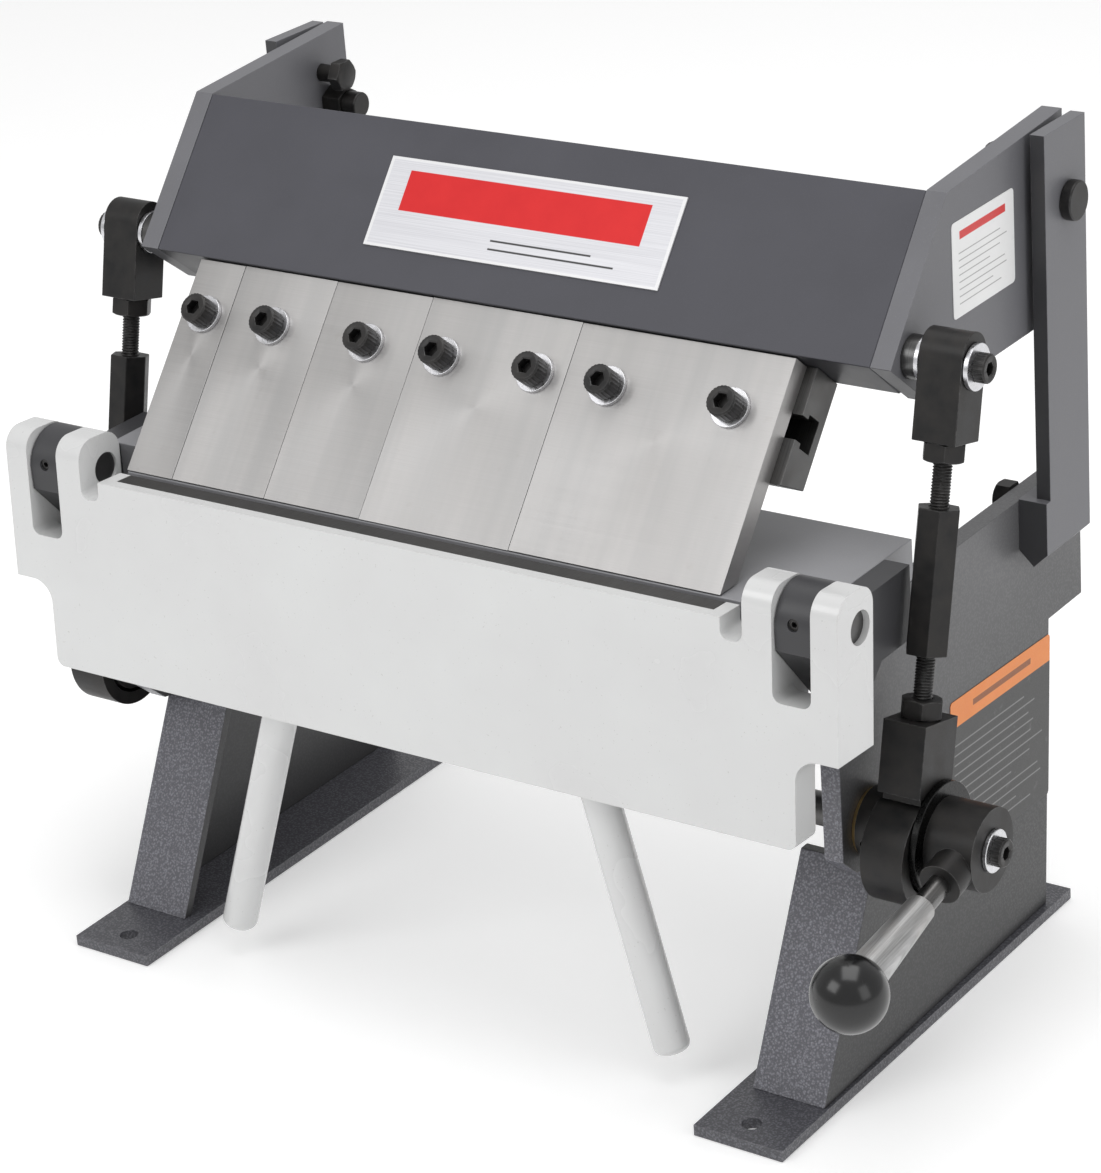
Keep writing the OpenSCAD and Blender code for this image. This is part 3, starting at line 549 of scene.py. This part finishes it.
def label(name, body, width, height, matrix, material):
    """A thin sticker with round corners. Its origin is its lower left corner."""
    radius, thick = 2.0 * MM, 0.22 * MM
    outline = []
    corners = [(width - radius, radius, -90), (width - radius, height - radius, 0),
               (radius, height - radius, 90), (radius, radius, 180)]
    for cx, cy, first in corners:
        for step in range(7):
            turn = math.radians(first + step * 15)
            outline.append((cx + radius * math.cos(turn), cy + radius * math.sin(turn)))
    bm = bmesh.new()
    lower = [bm.verts.new((u, v, 0)) for u, v in outline]
    upper = [bm.verts.new((u, v, thick)) for u, v in outline]
    bm.faces.new(upper)
    bm.faces.new(lower[::-1])
    for i in range(len(outline)):
        j = (i + 1) % len(outline)
        bm.faces.new((lower[i], lower[j], upper[j], upper[i]))
    mesh = bpy.data.meshes.new(name)
    bm.to_mesh(mesh)
    bm.free()
    return piece(name, mesh, body, material, matrix)


def wall_matrix(x, y, z, tilt=0.0):
    """Places a label on a wall that faces +X, with its own X along +Y."""
    turn = Matrix(((0, 0, 1), (1, 0, 0), (0, 1, 0))).to_4x4()
    return Matrix.Translation((x, y, z)) @ Matrix.Rotation(math.radians(tilt), 4, "X") @ turn


# ---- Pieces: turned, knurled and threaded --------------------------------

ROUND = 96


def hexagon(across):
    """The radius of a hexagon with that distance across its flats."""
    return lambda turn, along: across / 2 / math.cos(turn % (math.pi / 3) - math.pi / 6)


def knurled(radius):
    """A head's side with fine straight knurling."""
    return lambda turn, along: radius - 0.11 * MM * (1 - math.cos(turn * ROUND / 4))


def chamfered(shape, limit, start, slope):
    """A shape cut by a cone that is limit wide at start and widens with along."""
    return lambda turn, along: min(shape(turn, along), limit + abs(along - start) * slope)


def threaded(outer, pitch):
    """A right-hand thread with an outer radius."""
    depth = 0.5 * pitch

    def radius(turn, along):
        part = (along / pitch - turn / (2 * math.pi)) % 1.0
        return outer - depth * abs(2 * part - 1)

    return radius


def plain(radius):
    return lambda turn, along: radius


def loft(bm, rings, place, points=ROUND, closed=False):
    """Skins rings of (height, radius shape). Ends are capped unless closed."""
    loops = []
    for height, shape in rings:
        loop = []
        for i in range(points):
            turn = 2 * math.pi * i / points
            r = shape(turn, height)
            loop.append(bm.verts.new(place @ Vector((r * math.cos(turn), r * math.sin(turn), height))))
        loops.append(loop)
    pairs = list(zip(loops, loops[1:])) + ([(loops[-1], loops[0])] if closed else [])
    for lower, upper in pairs:
        for i in range(points):
            j = (i + 1) % points
            bm.faces.new((lower[i], lower[j], upper[j], upper[i]))
    if not closed:
        bm.faces.new(loops[0][::-1])
        bm.faces.new(loops[-1])


def islands(node):
    """The vertices of each separate solid in a CAD node, in the row frame."""
    obj = NODES[node]
    mesh, world = obj.data, obj.matrix_world
    spots = {}
    keys = []
    for vertex in mesh.vertices:
        key = tuple(round(c / (0.004 * MM)) for c in vertex.co)
        keys.append(key)
        spots.setdefault(key, key)

    def root(key):
        while spots[key] != key:
            spots[key] = spots[spots[key]]
            key = spots[key]
        return key

    for edge in mesh.edges:
        a, b = (root(keys[i]) for i in edge.vertices)
        spots[a] = b
    groups = {}
    for vertex, key in zip(mesh.vertices, keys):
        groups.setdefault(root(key), []).append(world @ vertex.co)
    return [groups[key] for key in sorted(groups)]


def axis_frame(points, axis):
    """(matrix, length): Z runs along axis from the lowest point of a solid."""
    turn = axis.to_track_quat("Z", "Y").to_matrix()
    local = [turn.transposed() @ point for point in points]
    low = [min(p[i] for p in local) for i in range(3)]
    high = [max(p[i] for p in local) for i in range(3)]
    middle = Vector(((low[0] + high[0]) / 2, (low[1] + high[1]) / 2, low[2]))
    return Matrix.Translation(turn @ middle) @ turn.to_4x4(), high[2] - low[2]


def made(node, body, material, slot, axis, build, mirrored=False):
    """One piece that stands for a CAD node, with build run for each solid.

    With mirrored, the solids left of the middle point the other way.
    """
    bm = bmesh.new()
    for points in islands(node):
        on_left = sum(p.x for p in points) < 0
        place, length = axis_frame(points, -axis if mirrored and on_left else axis)
        build(bm, place, length)
    bmesh.ops.recalc_face_normals(bm, faces=bm.faces)
    mesh = bpy.data.meshes.new(node + "_made")
    bm.to_mesh(mesh)
    bm.free()
    obj = piece(node + "_made", mesh, body, material)
    obj.modifiers.new("shade", "NODES").node_group = SMOOTH
    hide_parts(node)


def socket_screw(shank, head, head_h, socket):
    """A knurled socket head over a plain round shank, all in millimetres."""

    def build(bm, place, length):
        base, edge = length - head_h * MM, 0.6 * MM
        key = hexagon(socket * MM)
        rings = [
            (0.0, plain((shank - 0.5) * MM)),
            (0.6 * MM, plain(shank * MM)),
            (base, plain(shank * MM)),
            (base, plain((head - 0.3) * MM)),
            (base + 0.3 * MM, knurled(head * MM)),
            (length - edge, knurled(head * MM)),
            (length - 0.15 * MM, plain((head - 0.55) * MM)),
            (length, plain((head - 0.8) * MM)),
            (length, plain(socket * 0.66 * MM)),
            (length - 0.35 * MM, key),
            (base + head_h * 0.4 * MM, key),
        ]
        loft(bm, rings, place)

    return build


def hex_head(shank, across, head_h):
    """A chamfered hexagon head with a washer face, all in millimetres."""

    def build(bm, place, length):
        base, bevel = length - head_h * MM, 0.9 * MM
        flats = hexagon(across * MM)
        cone = chamfered(flats, across * 0.47 * MM, length, 1.8)
        rings = [
            (0.0, plain((shank - 0.5) * MM)),
            (0.6 * MM, plain(shank * MM)),
            (base, plain(shank * MM)),
            (base, plain(across * 0.47 * MM)),
            (base + 0.3 * MM, plain(across * 0.47 * MM)),
            (base + 0.3 * MM, flats),
        ]
        rings += [(length - bevel * (1 - i / 4), cone) for i in range(5)]
        loft(bm, rings, place)

    return build


def jam_nut(across, bore):
    """A nut chamfered on both sides, all in millimetres."""

    def build(bm, place, length):
        flats, limit, bevel = hexagon(across * MM), across * 0.48 * MM, 0.8 * MM
        rings = [(bevel * i / 3, chamfered(flats, limit, 0.0, 1.8)) for i in range(4)]
        rings += [(length - bevel * (1 - i / 3), chamfered(flats, limit, length, 1.8)) for i in range(4)]
        rings += [
            (length, plain((bore + 0.4) * MM)),
            (length - 0.4 * MM, plain(bore * MM)),
            (0.4 * MM, plain(bore * MM)),
            (0.0, plain((bore + 0.4) * MM)),
        ]
        loft(bm, rings, place, closed=True)

    return build


def threaded_rod(outer, pitch):
    """A rod threaded from end to end, all in millimetres."""

    def build(bm, place, length):
        steps = round(length / (pitch * MM / 5))
        thread = threaded(outer * MM, pitch * MM)
        loft(bm, [(length * i / steps, thread) for i in range(steps + 1)], place, points=30)

    return build


SLOPE_AXIS = Vector((0.0, -math.sin(SLOPE), math.cos(SLOPE)))
LINK_AXIS = Vector(
    next(joint["axis"] for joint in frame["joints"] if joint["name"] == "left_sleeve_turn")
).normalized()
OUTWARD = Vector((1.0, 0.0, 0.0))

FINGER_SCREW = socket_screw(4.0, 6.5, 8.0, 6.0)
PIN_SCREW = socket_screw(3.0, 6.0, 5.0, 5.0)
SHAFT_SCREW = socket_screw(3.0, 6.0, 4.5, 5.0)
UPRIGHT_SCREW = hex_head(4.0, 13.0, 7.5)
LOCK_SCREW = hex_head(4.0, 13.0, 6.0)

for node, body, axis, build, mirrored in (
    ("finger_screws", "beam", SLOPE_AXIS, FINGER_SCREW, False),
    ("link_pin_screws", "beam", OUTWARD, PIN_SCREW, True),
    ("shaft_end_screws", "lever", OUTWARD, SHAFT_SCREW, True),
    ("upright_screws", "frame", -OUTWARD, UPRIGHT_SCREW, True),
    ("arm_lock_screws", "beam", -OUTWARD, LOCK_SCREW, True),
):
    made(node, body, BLACK_STEEL, "black_steel", axis, build, mirrored)
for side in ("left", "right"):
    link = side + "_link"
    made(side + "_jam_nuts", link, LINK_STEEL, "black_steel", LINK_AXIS, jam_nut(16.0, 4.02))
    for end in ("top", "bottom"):
        rod = threaded_rod(4.0, 1.25)
        made(f"{side}_{end}_stud", link, LINK_STEEL, "black_steel", LINK_AXIS, rod)


# ---- Labels ---------------------------------------------------------------

SIDE_W, SIDE_H = 51 * MM, 40 * MM
SIDE_Y, SIDE_Z = 33 * MM, 306 * MM
WALL_Y, WALL_Z, WALL_TILT = 23 * MM, 63 * MM, -3.0
WALL_W, WALL_H, WALL_BAND = 88 * MM, 76 * MM, 12.5 * MM
LIFT = 0.03 * MM

label(
    "side_label", "beam", SIDE_W, SIDE_H,
    wall_matrix(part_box("right_arm")[1].x + LIFT, SIDE_Y, SIDE_Z),
    side_label_print("side_label_print", SIDE_W, SIDE_H),
)
label(
    "wall_label", "frame", WALL_W, WALL_H,
    wall_matrix(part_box("right_leg")[1].x + LIFT, WALL_Y, WALL_Z, WALL_TILT),
    wall_label_print("wall_label_print", WALL_W, WALL_H, WALL_BAND),
)


# ---- Camera, light and floor ----------------------------------------------


CAMERA_AZIMUTH = math.radians(36.5613)
CAMERA_ELEVATION = math.radians(23.9714)
CAMERA_ROLL = math.radians(-4.54206)
CAMERA_TARGET = Vector((79.3694, -98.0, 222.4939)) * MM
CAMERA_DISTANCE = 1438.0417 * MM
CAMERA_LENS = 111.627
FLOOR_HALF = 6.0
FLOOR_DROP = 0.2 * MM
SKY_STRENGTH = 0.6
# Name, place, aim and size in metres, and power in watts
LIGHTS = [
    ("key", (-0.7, -1.6, 1.5), (0, 0, 0.2), (1.2, 1.0), 10),
    ("top", (0.2, 0.1, 1.8), (0, 0, 0.2), (1.6, 1.2), 14),
    ("side", (1.9, -0.4, 0.9), (0.1, 0, 0.2), (0.9, 1.2), 4),
]


def add_camera():
    """The camera looks down at the right front of the machine."""
    azimuth, elevation, roll = CAMERA_AZIMUTH, CAMERA_ELEVATION, CAMERA_ROLL
    target, distance = CAMERA_TARGET, CAMERA_DISTANCE
    back = Vector((
        math.sin(azimuth) * math.cos(elevation),
        -math.cos(azimuth) * math.cos(elevation),
        math.sin(elevation),
    ))
    level = Vector((0, 0, 1)).cross(back).normalized()
    rise = back.cross(level)
    right = level * math.cos(roll) + rise * math.sin(roll)
    up = rise * math.cos(roll) - level * math.sin(roll)
    data = bpy.data.cameras.new("camera")
    data.lens = CAMERA_LENS
    data.sensor_width = 36
    data.clip_end = 20
    camera = bpy.data.objects.new("camera", data)
    bpy.context.scene.collection.objects.link(camera)
    turn = Matrix((right, up, back)).transposed().to_4x4()
    camera.matrix_world = Matrix.Translation(target + back * distance) @ turn
    bpy.context.scene.camera = camera


def add_light(name, place, target, size, power):
    data = bpy.data.lights.new(name, "AREA")
    data.shape = "RECTANGLE"
    data.size, data.size_y = size
    data.energy = power
    obj = bpy.data.objects.new(name, data)
    bpy.context.scene.collection.objects.link(obj)
    obj.location = place
    obj.rotation_euler = (Vector(target) - Vector(place)).to_track_quat("-Z", "Y").to_euler()


def add_floor():
    bm = bmesh.new()
    spots = ((-1, -1), (1, -1), (1, 1), (-1, 1))
    bm.faces.new([bm.verts.new((x * FLOOR_HALF, y * FLOOR_HALF, -FLOOR_DROP)) for x, y in spots])
    mesh = bpy.data.meshes.new("floor")
    bm.to_mesh(mesh)
    bm.free()
    floor = bpy.data.objects.new("floor", mesh)
    bpy.context.scene.collection.objects.link(floor)
    p = Paint("floor_paper")
    base = p.mix(p.noise(0.6, 3.0), grey(0.90), grey(0.93))
    rough = p.ramp(p.noise(0.02, 2.0), 0.3, 0.7, 0.85, 0.95)
    coat(floor, p.finish(base, rough, Emission_Color=grey(1.0), Emission_Strength=0.24))


def add_world():
    world = bpy.data.worlds.new("studio")
    world.use_nodes = True
    sky = world.node_tree.nodes["Background"]
    sky.inputs[0].default_value = (1.0, 1.0, 1.0, 1.0)
    sky.inputs[1].default_value = SKY_STRENGTH
    bpy.context.scene.world = world


add_camera()
add_world()
for light in LIGHTS:
    add_light(*light)
add_floor()
bpy.context.scene.view_settings.view_transform = "Standard"
